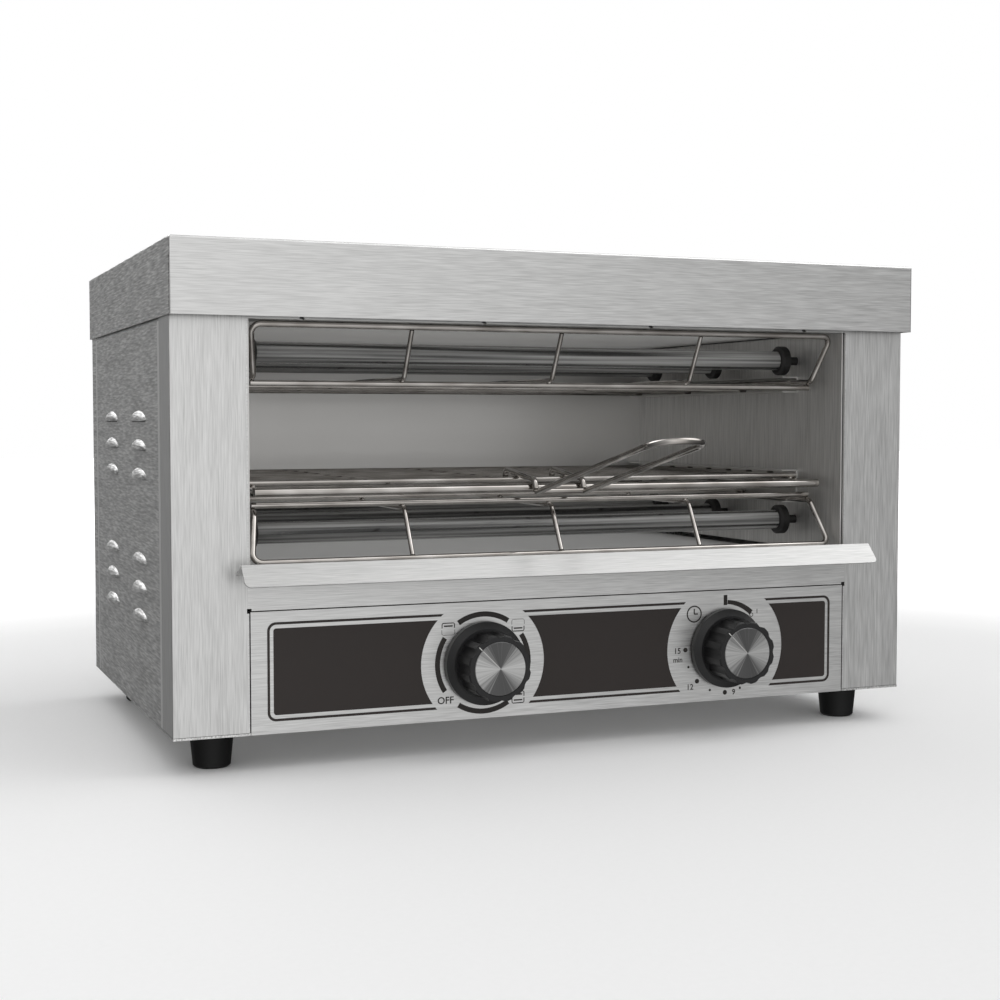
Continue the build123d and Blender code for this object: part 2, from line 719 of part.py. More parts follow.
# Clockwork timer behind the other knob
with BuildPart() as timer_body:
    block(timer_x - 24, timer_x + 24, sheet, 3, knob_z - 22, knob_z + 22)
    round_y(timer_x, 3, 38, knob_z, 22)
    round_y(timer_x, -2.2, sheet, knob_z, bush_r)
    drill(timer_x)
keep("timer_body", timer_body.part)

with BuildPart() as control_screws:
    for x in (selector_x, timer_x):
        for step in (-fixing_step, fixing_step):
            round_y(x + step, -1.9, 0, knob_z, fixing_head_r)
            round_y(x + step, 0, 8, knob_z, fixing_r)
keep("control_screws", control_screws.part)

# Terminal block on the base plate, near the cable bush
with BuildPart() as terminal_block:
    block(gland_x - 27, gland_x + 27, terminal_d - 10, terminal_d + 10, base_top, base_top + 18)
    for step in (-16, 0, 16):
        left = gland_x + step - 5
        right = gland_x + step + 5
        for end in (terminal_d - 8, terminal_d + 8):
            block(left, right, end - 4, end + 4, base_top + 5, base_top + 13, Mode.SUBTRACT)
        round_z(gland_x + step, terminal_d, base_top + 9, base_top + 19, 2.5, Mode.SUBTRACT)
keep("terminal_block", terminal_block.part)
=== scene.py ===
"""Dress an open-fronted catering toaster: brushed casing, quartz tubes, wire guards, rack, tray and dials."""

import logging
import math
from dataclasses import dataclass, replace
from enum import Enum
from typing import Any, Iterable, Sequence

import bmesh
import bpy
from mathutils import Euler, Matrix, Vector


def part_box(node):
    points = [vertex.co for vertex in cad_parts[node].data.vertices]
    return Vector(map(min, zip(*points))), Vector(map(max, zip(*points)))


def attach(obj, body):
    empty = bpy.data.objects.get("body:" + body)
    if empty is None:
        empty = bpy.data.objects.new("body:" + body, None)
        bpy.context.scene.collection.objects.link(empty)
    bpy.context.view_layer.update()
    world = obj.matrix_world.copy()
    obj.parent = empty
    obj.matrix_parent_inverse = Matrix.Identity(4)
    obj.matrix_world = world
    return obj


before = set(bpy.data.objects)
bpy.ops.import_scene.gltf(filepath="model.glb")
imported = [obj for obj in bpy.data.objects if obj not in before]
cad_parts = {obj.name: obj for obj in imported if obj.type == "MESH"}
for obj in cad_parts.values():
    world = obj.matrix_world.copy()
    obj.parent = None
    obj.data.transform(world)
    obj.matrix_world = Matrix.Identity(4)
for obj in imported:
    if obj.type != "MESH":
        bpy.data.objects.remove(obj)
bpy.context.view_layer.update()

MM = 0.001
LOG = logging.getLogger("toaster")
WELD_MM = 0.001  # points nearer than this are one
FLAT_DEG = 1.0  # faces that turn less than this are one flat
FOLD_DEG = 40.0  # edges that turn more than this are softened
NOISE_SPAN = (0.3, 0.7)  # where most of a noise's values lie
QUARTER = [math.radians(a) for a in range(0, 91, 15)]

Point = tuple[float, float]
Place = tuple[float, float, float]


def linear(colour: str) -> tuple[float, float, float, float]:
    """Turn an sRGB hex colour into linear light.

    Args:
        colour: six hex digits after a hash sign.

    Returns:
        Red, green, blue and an alpha of 1.
    """
    parts = [int(colour[i:i + 2], 16) / 255 for i in (1, 3, 5)]
    red, green, blue = (c / 12.92 if c <= 0.04045 else ((c + 0.055) / 1.055) ** 2.4 for c in parts)
    return red, green, blue, 1.0


def add_node(
    tree: bpy.types.NodeTree, kind: str, inputs: dict[Any, Any] | None = None, **settings: Any
) -> bpy.types.Node:
    """Add a node with its settings and links.

    Args:
        tree: the tree that gets the node.
        kind: the node's Blender type name.
        inputs: input name or number, with a value or an output socket to link.
        settings: properties of the node itself.

    Returns:
        The new node.
    """
    node = tree.nodes.new(kind)
    for name, value in settings.items():
        setattr(node, name, value)
    for socket, value in (inputs or {}).items():
        if isinstance(value, bpy.types.NodeSocket):
            tree.links.new(value, node.inputs[socket])
        else:
            node.inputs[socket].default_value = value
    return node


class Grain(Enum):
    """The way a sheet was brushed or drawn."""

    ALONG_X = (1, 0, 0)
    ALONG_Y = (0, 1, 0)
    ALONG_Z = (0, 0, 1)


def grain_noise(
    tree: bpy.types.NodeTree, grain: Grain, stroke_mm: float, width_mm: float
) -> bpy.types.NodeSocket:
    """Noise drawn out along a grain.

    Args:
        tree: the material's tree.
        grain: the way of the strokes.
        stroke_mm: length of a stroke.
        width_mm: width of a stroke.

    Returns:
        The noise's value, from 0 to 1.
    """
    scale = [1 / (MM * (stroke_mm if along else width_mm)) for along in grain.value]
    place = add_node(tree, "ShaderNodeTexCoord").outputs["Object"]
    drawn = add_node(tree, "ShaderNodeMapping", {"Vector": place, "Scale": scale})
    noise = add_node(tree, "ShaderNodeTexNoise", {"Vector": drawn.outputs[0], "Scale": 1.0, "Detail": 1.5})
    return noise.outputs[0]


@dataclass(frozen=True)
class Finish:
    """A surface: its real material, how it was made, and the nodes that show it.

    The pattern of each finish runs from its shade to its colour.
    """

    name: str
    colour: str
    shade: str
    roughness: float

    metallic = 0.0

    def material(self) -> bpy.types.Material:
        """Make the finish's material the first time it is asked for.

        Returns:
            The material.
        """
        known = bpy.data.materials.get(self.name)
        if known:
            return known
        made = bpy.data.materials.new(self.name)
        made.use_nodes = True
        tree = made.node_tree
        tree.nodes.clear()
        shader = add_node(tree, "ShaderNodeBsdfPrincipled", {"Metallic": self.metallic})
        add_node(tree, "ShaderNodeOutputMaterial", {"Surface": shader.outputs["BSDF"]})
        self.paint(tree, shader)
        made.diffuse_color = linear(self.colour)
        return made

    def paint(self, tree: bpy.types.NodeTree, shader: bpy.types.Node) -> None:
        """Fill the shader; each kind of finish has its own."""
        raise NotImplementedError

    def vary(
        self, tree: bpy.types.NodeTree, shader: bpy.types.Node, pattern: bpy.types.NodeSocket,
        spread: float, bump_mm: float = 0.0,
    ) -> None:
        """Let one pattern move colour, roughness and height.

        Args:
            tree: the material's tree.
            shader: the shader to fill.
            pattern: value from 0 to 1.
            spread: how far the roughness moves to each side.
            bump_mm: height of the relief, or 0 for none.
        """
        tint = add_node(tree, "ShaderNodeMix", {
            0: pattern, 6: linear(self.shade), 7: linear(self.colour),
        }, data_type="RGBA")
        rough = add_node(tree, "ShaderNodeMapRange", {
            "Value": pattern, "From Min": NOISE_SPAN[0], "From Max": NOISE_SPAN[1],
            "To Min": self.roughness - spread, "To Max": self.roughness + spread,
        })
        tree.links.new(tint.outputs[2], shader.inputs["Base Color"])
        tree.links.new(rough.outputs[0], shader.inputs["Roughness"])
        if bump_mm:
            relief = add_node(
                tree, "ShaderNodeBump", {"Strength": 1.0, "Distance": bump_mm * MM, "Height": pattern}
            )
            tree.links.new(relief.outputs[0], shader.inputs["Normal"])


@dataclass(frozen=True)
class BrushedSteel(Finish):
    """Stainless sheet brushed with a belt: fine streaks that catch light along one way.

    Belt scratches are about 0.05 mm wide; they are drawn coarser here so that they show.
    """

    grain: Grain = Grain.ALONG_X
    stroke_mm: float = 14.0
    scratch_mm: float = 0.45
    flank_mm: float = 1.0
    relief_mm: float = 0.02
    upright_beyond_mm: float = 0.0  # distance from the middle where columns begin, or 0 for none
    metallic: float = 1.0
    highlight_edges_mm: tuple[float, ...] = ()  # where painted edge highlights stand along Y
    highlight_reach_mm: float = 5.0  # how far the painted highlight line reaches from such an edge
    flank_normal: float = 0.7  # a face that looks further along X is a flank
    band: Point = (4.0, 7.0)  # a broad band's length and width, in scratches
    band_share: float = 0.2
    sharp: Point = (0.35, 0.65)  # the part of a flank's pattern that runs from shade to colour

    def paint(self, tree: bpy.types.NodeTree, shader: bpy.types.Node) -> None:
        """Lay fine scratches over broad bands; the grain turns on flanks, and on columns beyond a distance;
        painted highlight lines run along the given edges.

        Args:
            tree: the material's tree.
            shader: the shader to fill.
        """
        pattern = self.streaks(tree, self.grain, self.scratch_mm)
        if self.upright_beyond_mm:
            upright = self.streaks(tree, Grain.ALONG_Z, self.scratch_mm)
            pattern = self.beyond(tree, "Object", self.upright_beyond_mm * MM, pattern, upright)
        elif self.grain is Grain.ALONG_X:
            flank = self.streaks(tree, Grain.ALONG_Y, self.flank_mm)
            pattern = self.beyond(tree, "Normal", self.flank_normal, pattern, flank)
        for edge in self.highlight_edges_mm:
            pattern = self.painted_edge_highlight(tree, edge * MM, pattern)
        self.vary(tree, shader, pattern, spread=0.07, bump_mm=self.relief_mm)

    def painted_edge_highlight(
        self, tree: bpy.types.NodeTree, edge: float, pattern: bpy.types.NodeSocket
    ) -> bpy.types.NodeSocket:
        """Paint a highlight line along a sheet's edge, where the seam catches light; it is wider than the
        edge's real 1 mm so that it shows.

        Args:
            tree: the material's tree.
            edge: where the edge stands along Y.
            pattern: the sheet's own streaks.

        Returns:
            The joined pattern.
        """
        place = add_node(tree, "ShaderNodeTexCoord").outputs["Object"]
        along = add_node(tree, "ShaderNodeSeparateXYZ", {0: place}).outputs["Y"]
        # painted highlight: full colour within reach of the edge
        near = add_node(
            tree, "ShaderNodeMath", {0: along, 1: edge, 2: self.highlight_reach_mm * MM}, operation="COMPARE"
        )
        return add_node(tree, "ShaderNodeMix", {0: near.outputs[0], 2: pattern, 3: 1.0}).outputs[0]

    def streaks(self, tree: bpy.types.NodeTree, grain: Grain, scratch_mm: float) -> bpy.types.NodeSocket:
        """Mix fine scratches and broader bands along one way; flanks are brushed more roughly.

        Args:
            tree: the material's tree.
            grain: the way of the scratches.
            scratch_mm: width of a fine scratch.

        Returns:
            The pattern, from 0 to 1.
        """
        fine = grain_noise(tree, grain, self.stroke_mm, scratch_mm)
        broad = grain_noise(tree, grain, self.band[0] * self.stroke_mm, self.band[1] * scratch_mm)
        mixed = add_node(tree, "ShaderNodeMix", {0: self.band_share, 2: fine, 3: broad}).outputs[0]
        if grain is not Grain.ALONG_Y:
            return mixed
        low, high = self.sharp
        rougher = add_node(tree, "ShaderNodeMapRange", {"Value": mixed, "From Min": low, "From Max": high})
        return rougher.outputs[0]

    def beyond(
        self, tree: bpy.types.NodeTree, coordinate: str, limit: float,
        inside: bpy.types.NodeSocket, outside: bpy.types.NodeSocket,
    ) -> bpy.types.NodeSocket:
        """Change patterns where a coordinate's X, to either side, passes a limit.

        Args:
            tree: the material's tree.
            coordinate: which texture coordinate is read.
            limit: where the pattern changes.
            inside: pattern nearer the middle.
            outside: pattern past the limit.

        Returns:
            The joined pattern.
        """
        place = add_node(tree, "ShaderNodeTexCoord").outputs[coordinate]
        aside = add_node(tree, "ShaderNodeSeparateXYZ", {0: place}).outputs["X"]
        reach = add_node(tree, "ShaderNodeMath", {0: aside}, operation="ABSOLUTE").outputs[0]
        past = add_node(tree, "ShaderNodeMath", {0: reach, 1: limit}, operation="GREATER_THAN").outputs[0]
        return add_node(tree, "ShaderNodeMix", {0: past, 2: inside, 3: outside}).outputs[0]


@dataclass(frozen=True)
class RolledSteel(Finish):
    """Cold-rolled stainless sheet, unbrushed: a grey, slightly cloudy mirror, duller where heat baked it."""

    cloud_mm: Point = (135.0, 45.0)
    metallic: float = 1.0

    def paint(self, tree: bpy.types.NodeTree, shader: bpy.types.Node) -> None:
        """Lay soft clouds, drawn out along X by the rolls."""
        clouds = grain_noise(tree, Grain.ALONG_X, *self.cloud_mm)
        self.vary(tree, shader, clouds, spread=0.02)


@dataclass(frozen=True)
class ChromedWire(Finish):
    """Drawn steel wire, chrome plated and polished: a bright mirror with warm smudges from the heat."""

    smudge_mm: Point = (18.0, 9.0)
    metallic = 1.0

    def paint(self, tree: bpy.types.NodeTree, shader: bpy.types.Node) -> None:
        """Lay patches of warmer, duller plating."""
        patches = grain_noise(tree, Grain.ALONG_X, *self.smudge_mm)
        self.vary(tree, shader, patches, spread=0.03, bump_mm=0.004)


@dataclass(frozen=True)
class FusedQuartz(Finish):
    """Drawn fused quartz tube: cloudy grey glass with light and dark lines along its length, partly real draw
    lines and partly painted reflection stripes.

    Draw lines are about 0.2 mm wide; they are drawn coarser here so that they show.
    """

    line_mm: Point = (220.0, 2.2)
    clear: float = 0.45
    refraction: float = 1.46
    sharp: Point = (0.36, 0.64)  # the part of the pattern that runs from shade to colour

    def paint(self, tree: bpy.types.NodeTree, shader: bpy.types.Node) -> None:
        """Draw cloudy glass out along X, with painted reflection stripes among the draw lines.

        Args:
            tree: the material's tree.
            shader: the shader to fill.
        """
        shader.inputs["IOR"].default_value = self.refraction
        shader.inputs["Transmission Weight"].default_value = self.clear
        drawn = grain_noise(tree, Grain.ALONG_X, *self.line_mm)
        low, high = self.sharp
        lines_and_painted_reflections = add_node(tree, "ShaderNodeMapRange", {"Value": drawn, "From Min": low, "From Max": high})
        self.vary(tree, shader, lines_and_painted_reflections.outputs[0], spread=0.02, bump_mm=0.006)


@dataclass(frozen=True)
class WoundWire(Finish):
    """Resistance wire wound close on a core: dark, oxidised turns seen through the quartz as fine bands.

    The turns are about 0.8 mm apart; they are drawn coarser here so that they show.
    """

    pitch_mm: float = 2.6
    metallic = 1.0

    def paint(self, tree: bpy.types.NodeTree, shader: bpy.types.Node) -> None:
        """Draw one round turn of wire for each pitch along X.

        Args:
            tree: the material's tree.
            shader: the shader to fill.
        """
        half = self.pitch_mm * MM / 2
        place = add_node(tree, "ShaderNodeTexCoord").outputs["Object"]
        along = add_node(tree, "ShaderNodeSeparateXYZ", {0: place}).outputs["X"]
        turns = add_node(tree, "ShaderNodeMath", {0: along, 1: half}, operation="PINGPONG")
        crown = add_node(tree, "ShaderNodeMapRange", {"Value": turns.outputs[0], "From Max": half})
        self.vary(tree, shader, crown.outputs[0], spread=0.1, bump_mm=0.5)


@dataclass(frozen=True)
class Moulded(Finish):
    """Pressed, moulded or fired bodies: an even colour broken by a fine skin texture."""

    grit_mm: float = 0.4
    bump_mm: float = 0.01
    spread: float = 0.06
    gloss: float = 0.5
    grits_in_cloud: float = 40.0
    cloud_share: float = 0.5

    def paint(self, tree: bpy.types.NodeTree, shader: bpy.types.Node) -> None:
        """Lay fine grit over soft, wider changes of gloss.

        Args:
            tree: the material's tree.
            shader: the shader to fill.
        """
        shader.inputs["Specular IOR Level"].default_value = self.gloss
        grit = grain_noise(tree, Grain.ALONG_X, self.grit_mm, self.grit_mm)
        cloud_mm = self.grits_in_cloud * self.grit_mm
        wide = grain_noise(tree, Grain.ALONG_X, cloud_mm, cloud_mm)
        pattern = add_node(tree, "ShaderNodeMix", {0: self.cloud_share, 2: grit, 3: wide}).outputs[0]
        self.vary(tree, shader, pattern, self.spread, self.bump_mm)


@dataclass(frozen=True)
class PlatedSteel(Moulded):
    """Zinc or nickel plated steel: satin metal with a cloudy, slightly rough plating."""

    metallic = 1.0


@dataclass(frozen=True)
class SpunAluminium(Finish):
    """Aluminium disc turned on a lathe: fine rings, and a bright fan to each side that is a painted
    reflection in the colour.

    Lathe rings are about 0.1 mm apart; they are drawn coarser here so that they show.
    """

    centre: Place = (0.0, 0.0, 0.0)
    ring_mm: float = 0.35
    painted_rays: float = 9.0
    painted_ray_share: float = 1.6
    painted_fan: Point = (0.15, 2.0)  # where the painted reflection fan is darkest and brightest
    stretch: float = 0.8
    metallic = 1.0

    def paint(self, tree: bpy.types.NodeTree, shader: bpy.types.Node) -> None:
        """Draw rings about the disc's middle, paint a fan of rays into the colour as a painted reflection,
        and stretch the gloss across the rings.

        Args:
            tree: the material's tree.
            shader: the shader to fill.
        """
        shader.inputs["Anisotropic"].default_value = self.stretch
        place = add_node(tree, "ShaderNodeTexCoord").outputs["Object"]
        offset = add_node(tree, "ShaderNodeVectorMath", {0: place, 1: self.centre}, operation="SUBTRACT")
        arm = offset.outputs[0]
        reach = add_node(tree, "ShaderNodeVectorMath", {0: arm}, operation="LENGTH").outputs["Value"]
        turns = add_node(tree, "ShaderNodeMath", {0: reach, 1: 1 / (self.ring_mm * MM)}, operation="MULTIPLY")
        rings = add_node(
            tree, "ShaderNodeTexNoise", {"W": turns.outputs[0], "Scale": 1.0}, noise_dimensions="1D"
        )
        part = add_node(tree, "ShaderNodeSeparateXYZ", {0: arm}).outputs
        # painted reflection: light and dark sectors by angle round the disc's middle, broken into rays
        angle = add_node(tree, "ShaderNodeMath", {0: part["Z"], 1: part["X"]}, operation="ARCTAN2").outputs[0]
        double = add_node(tree, "ShaderNodeMath", {0: angle, 1: 2.0}, operation="MULTIPLY").outputs[0]
        painted_lobes = add_node(tree, "ShaderNodeMath", {0: double}, operation="COSINE").outputs[0]
        painted_rays = add_node(tree, "ShaderNodeTexNoise", {"W": angle, "Scale": self.painted_rays}, noise_dimensions="1D")
        painted_broken_fan = add_node(tree, "ShaderNodeMath", {
            0: painted_rays.outputs[0], 1: self.painted_ray_share, 2: painted_lobes,
        }, operation="MULTIPLY_ADD")
        painted_fan = add_node(tree, "ShaderNodeMapRange", {
            "Value": painted_broken_fan.outputs[0], "From Min": self.painted_fan[0], "From Max": self.painted_fan[1],
        })
        way = add_node(tree, "ShaderNodeTangent", direction_type="RADIAL", axis="Y")
        self.vary(tree, shader, rings.outputs[0], spread=0.04, bump_mm=0.004)
        # the painted reflection fan, not the rings, sets the base colour
        tint = add_node(tree, "ShaderNodeMix", {
            0: painted_fan.outputs[0], 6: linear(self.shade), 7: linear(self.colour),
        }, data_type="RGBA")
        tree.links.new(tint.outputs[2], shader.inputs["Base Color"])
        tree.links.new(way.outputs[0], shader.inputs["Tangent"])


@dataclass(frozen=True)
class PaperSweep(Finish):
    """Matt white paper that runs out into the lit background."""

    fade_mm: Point = (500.0, 1300.0)
    fibre_mm: float = 3.0

    def paint(self, tree: bpy.types.NodeTree, shader: bpy.types.Node) -> None:
        """Show plain paper fibre near the object and a white glow far off, so that no horizon shows.

        Args:
            tree: the material's tree.
            shader: the shader to fill.
        """
        place = add_node(tree, "ShaderNodeTexCoord").outputs["Object"]
        reach = add_node(tree, "ShaderNodeVectorMath", {0: place}, operation="LENGTH").outputs["Value"]
        glow = add_node(tree, "ShaderNodeMapRange", {
            "Value": reach, "From Min": self.fade_mm[0] * MM, "From Max": self.fade_mm[1] * MM,
        }, interpolation_type="SMOOTHSTEP")
        tree.links.new(glow.outputs[0], shader.inputs["Emission Strength"])
        shader.inputs["Emission Color"].default_value = (1, 1, 1, 1)
        fibre = grain_noise(tree, Grain.ALONG_X, self.fibre_mm, self.fibre_mm)
        self.vary(tree, shader, fibre, spread=0.02, bump_mm=0.01)


# Cover, rear and control panel: level streaks, broken dashes on the folded flanks
HOOD_STEEL = BrushedSteel("stainless_brushed_along", "#F2F2F1", "#A1A1A0", 0.36, relief_mm=0.03)
# Front frame: level streaks over sill and lintel, upright ones on the columns
FRAME_STEEL = BrushedSteel("stainless_brushed_frame", "#F4F4F3", "#9C9C9B", 0.36, upright_beyond_mm=184.0)
# Side panels and base: short dashes from front to back, coarse enough to show at a flat angle
SIDE_STEEL = BrushedSteel(
    "stainless_brushed_side", "#EFEFEE", "#ABABAA", 0.38, Grain.ALONG_Y, 12.0, 1.0, relief_mm=0.02
)
# Chamber walls: long upright streaks, dulled by heat
WALL_STEEL = BrushedSteel(
    "stainless_brushed_upright", "#F6F5F3", "#9B9A98", 0.42, Grain.ALONG_Z, 24.0, 0.8, metallic=0.8
)
# Chamber back and runners: a soft grey mirror without a grain
CHAMBER_STEEL = RolledSteel("stainless_cold_rolled", "#D6D5D3", "#CCCBC9", 0.37)
# Ceiling and floor by the tubes: the same sheet, half matt from the heat
BAKED_STEEL = RolledSteel("stainless_cold_rolled_baked", "#D5D4D2", "#CBCAC8", 0.4, metallic=0.5)
# Crumb tray: level streaks that stay pale, worn half matt by wiping
TRAY_STEEL = BrushedSteel("stainless_brushed_tray", "#D2D2D1", "#7F7F7E", 0.36, metallic=0.55)
# Guards and rack: bright sharp lines with brownish smudges
WIRE_CHROME = ChromedWire("steel_wire_chromed", "#D4D1CD", "#766F69", 0.08)
# Tubes: dark grey glass with light and dark draw lines that also serve as painted reflection stripes
QUARTZ = FusedQuartz("quartz_drawn", "#BEBEBC", "#363635", 0.08)
# Cores: fine dark bands behind the glass
HEATER_WIRE = WoundWire("resistance_wire_wound", "#6B6560", "#2B2825", 0.5)
# Tube caps: dull, slightly rough black
STEATITE = Moulded("steatite_fired_black", "#1C1B1A", "#100F0F", 0.5, 0.5, 0.03)
# Knobs and bush: satin black with soft highlights
PHENOLIC = Moulded("phenolic_moulded_black", "#181819", "#0F0F10", 0.4, 0.3, 0.008, gloss=0.42)
# Control label: smooth, warm black
FILM = Moulded("polyester_film_printed", "#2C2624", "#282321", 0.42, 0.25, 0.004, gloss=0.3)
# Signs on the panel: matt, warm black
INK = Moulded("screen_ink_dark", "#2A2624", "#221F1D", 0.5, 0.2, 0.004, gloss=0.3)
# Pointer on the knob: matt off-white
PALE_INK = Moulded("screen_ink_pale", "#D8D8D4", "#C4C4C0", 0.5, 0.2, 0.004)
# Pointer on the disc: bare pale metal
SCRIBED = PlatedSteel("aluminium_scribed", "#D8D8D6", "#C6C6C4", 0.5, 0.2)
# Feet: dead matt black
RUBBER = Moulded("rubber_moulded_black", "#121212", "#0C0C0C", 0.55, 0.5, 0.02, gloss=0.25)
# Screws, pins and shafts: pale satin metal
ZINC = PlatedSteel("steel_zinc_plated", "#C3C5C5", "#A6A8A8", 0.32, 0.6)
# Switch: dull cream
THERMOSET = Moulded("thermoset_pressed_cream", "#CFC9B8", "#BFB8A5", 0.5, 0.5, 0.02)
# Terminal block: glossy off-white
PORCELAIN = Moulded("porcelain_glazed", "#E4E0D6", "#D8D3C6", 0.18, 0.8, 0.006)
# Floor: white with hardly any fibre to see
PAPER = PaperSweep("paper_matt_white", "#F9F9F9", "#F6F6F6", 0.6)


def dress(finish: Finish, *nodes: str, edge_mm: float = 0.0) -> None:
    """Give CAD nodes their finish, and a softened edge where their sheet has one.

    Args:
        finish: what the nodes are made of.
        nodes: names of CAD nodes.
        edge_mm: width of the softened edge, or 0 for round pieces.
    """
    for name in nodes:
        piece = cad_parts[name]
        piece.data.materials.clear()
        piece.data.materials.append(finish.material())
        if edge_mm:
            joined = piece.modifiers.new("joined", "WELD")
            joined.merge_threshold = WELD_MM * MM
            flats = piece.modifiers.new("flats", "DECIMATE")
            flats.decimate_type = "DISSOLVE"
            flats.angle_limit = math.radians(FLAT_DEG)
            edge = piece.modifiers.new("edge", "BEVEL")
            edge.width = edge_mm * MM
            edge.segments = 2
            edge.angle_limit = math.radians(FOLD_DEG)
            edge.harden_normals = True
        LOG.info("dressed %s in %s", name, finish.name)


def add_piece(
    name: str, shape: bmesh.types.BMesh, finish: Finish, body: str, smooth: bool = False
) -> None:
    """Make a piece from a mesh and set it on a body.

    Args:
        name: the piece's name.
        shape: its mesh, in the row frame.
        finish: what it is made of.
        body: the CAD body that carries it.
        smooth: whether its faces shade as one curve.
    """
    mesh = bpy.data.meshes.new(name)
    bmesh.ops.recalc_face_normals(shape, faces=shape.faces)
    shape.to_mesh(mesh)
    shape.free()
    for face in mesh.polygons:
        face.use_smooth = smooth
    mesh.materials.append(finish.material())
    piece = bpy.data.objects.new(name, mesh)
    bpy.context.scene.collection.objects.link(piece)
    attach(piece, body)
    LOG.info("made %s on %s", name, body)


def spread(first: float, last: float, count: int) -> list[float]:
    """Evenly spaced values from the first to the last."""
    return [first + (last - first) * i / (count - 1) for i in range(count)]


def middle(node: str) -> Vector:
    """The middle of a CAD node's box."""
    low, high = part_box(node)
    return (low + high) / 2


def turned(spot: Point, reach: float, turn_deg: float, aside: float = 0.0) -> Point:
    """A point of the panel at a distance and a clockwise turn from the top.

    Args:
        spot: the middle.
        reach: distance from it.
        turn_deg: clockwise turn from the top.
        aside: step to the right of the way out.

    Returns:
        Its place, in millimetres to the right and up.
    """
    way = math.radians(turn_deg)
    return (
        spot[0] + reach * math.sin(way) + aside * math.cos(way),
        spot[1] + reach * math.cos(way) - aside * math.sin(way),
    )


class Ink:
    """Printed shapes on a face that looks to the front, laid down as one thin piece.

    Places and sizes are in millimetres to the right and up; turns are in degrees clockwise from the top.
    """

    round_step_deg = 5.0
    bold = 0.015

    def __init__(self, face: float, thick_mm: float) -> None:
        """Begin a print.

        Args:
            face: the printed face's place along Y, in metres.
            thick_mm: thickness of the ink.
        """
        self.face = face
        self.thick = thick_mm * MM
        self.shape = bmesh.new()

    def fill(self, outline: Sequence[Point]) -> None:
        """Print one outline, with its sides down to the face.

        Args:
            outline: the outline's points, in order.
        """
        top = [self.shape.verts.new((x * MM, self.face - self.thick, z * MM)) for x, z in outline]
        foot = [self.shape.verts.new((x * MM, self.face, z * MM)) for x, z in outline]
        self.shape.faces.new(top)
        for i in range(len(top)):
            j = (i + 1) % len(top)
            self.shape.faces.new((top[i], foot[i], foot[j], top[j]))

    def strip(self, left: Sequence[Point], right: Sequence[Point]) -> None:
        """Print the area between two rows of points.

        Args:
            left: one row.
            right: the other row, with as many points.
        """
        for i in range(len(left) - 1):
            self.fill((left[i], left[i + 1], right[i + 1], right[i]))

    def arc(self, spot: Point, radii: Point, start: float, end: float) -> None:
        """Print a piece of a ring.

        Args:
            spot: the ring's middle.
            radii: its two radii.
            start: turn where the piece begins.
            end: turn where it ends.
        """
        turns = spread(start, end, 2 + int(abs(end - start) / self.round_step_deg))
        self.strip(*([turned(spot, radius, turn) for turn in turns] for radius in radii))

    def taper(self, spot: Point, radius: float, turns: Point, widths: Point) -> None:
        """Print an arc whose width changes evenly inside a round outer edge.

        Args:
            spot: the arc's middle.
            radius: its outer radius.
            turns: where it begins and ends.
            widths: its width at both ends.
        """
        count = 10
        steps = spread(*turns, count)
        outer = [turned(spot, radius, turn) for turn in steps]
        inner = [turned(spot, radius - wide, turn) for turn, wide in zip(steps, spread(*widths, count))]
        self.strip(inner, outer)

    def ring(self, spot: Point, radius: float, line: float) -> None:
        """Print a full ring."""
        self.arc(spot, (radius - line, radius), 0, 360)

    def dot(self, spot: Point, radius: float) -> None:
        """Print a round dot."""
        self.fill([turned(spot, radius, turn) for turn in range(0, 360, 20)])

    def bar(self, start: Point, end: Point, width: float) -> None:
        """Print a straight bar.

        Args:
            start: middle of one end.
            end: middle of the other end.
            width: width of the bar.
        """
        way = Vector((end[0] - start[0], end[1] - start[1])).normalized() * width / 2
        rows = [[(x - side * way.y, z + side * way.x) for x, z in (start, end)] for side in (-1, 1)]
        self.strip(*rows)

    def words(self, text: str, spot: Point, tall: float) -> None:
        """Print words about a middle.

        Args:
            text: what to print.
            spot: middle of the words.
            tall: height of their tallest letter.
        """
        letters = bpy.data.curves.new("letters", "FONT")
        letters.body = text
        letters.resolution_u = 3
        letters.offset = self.bold
        holder = bpy.data.objects.new("letters", letters)
        mesh = bpy.data.meshes.new_from_object(holder)
        low, high = (Vector(pick(v.co[i] for v in mesh.vertices) for i in range(3)) for pick in (min, max))
        size = tall * MM / (high.y - low.y)
        centre = (low + high) / 2
        mesh.transform(
            Matrix.Translation((spot[0] * MM, self.face - self.thick, spot[1] * MM))
            @ Matrix.Rotation(math.pi / 2, 4, "X") @ Matrix.Scale(size, 4) @ Matrix.Translation(-centre)
        )
        self.shape.from_mesh(mesh)
        bpy.data.objects.remove(holder)
        bpy.data.curves.remove(letters)
        bpy.data.meshes.remove(mesh)

    def lay(self, name: str, finish: Finish, body: str) -> None:
        """Make the piece.

        Args:
            name: the piece's name.
            finish: the ink.
            body: the body that carries it.
        """
        add_piece(name, self.shape, finish, body)


class SubAssembly:
    """A group of pieces that is dressed, and may have pieces that only the scene holds."""

    def dress(self) -> None:
        """Give the CAD nodes their finish."""
        raise NotImplementedError

    def build(self) -> None:
        """Add the scene's own pieces; most groups have none."""


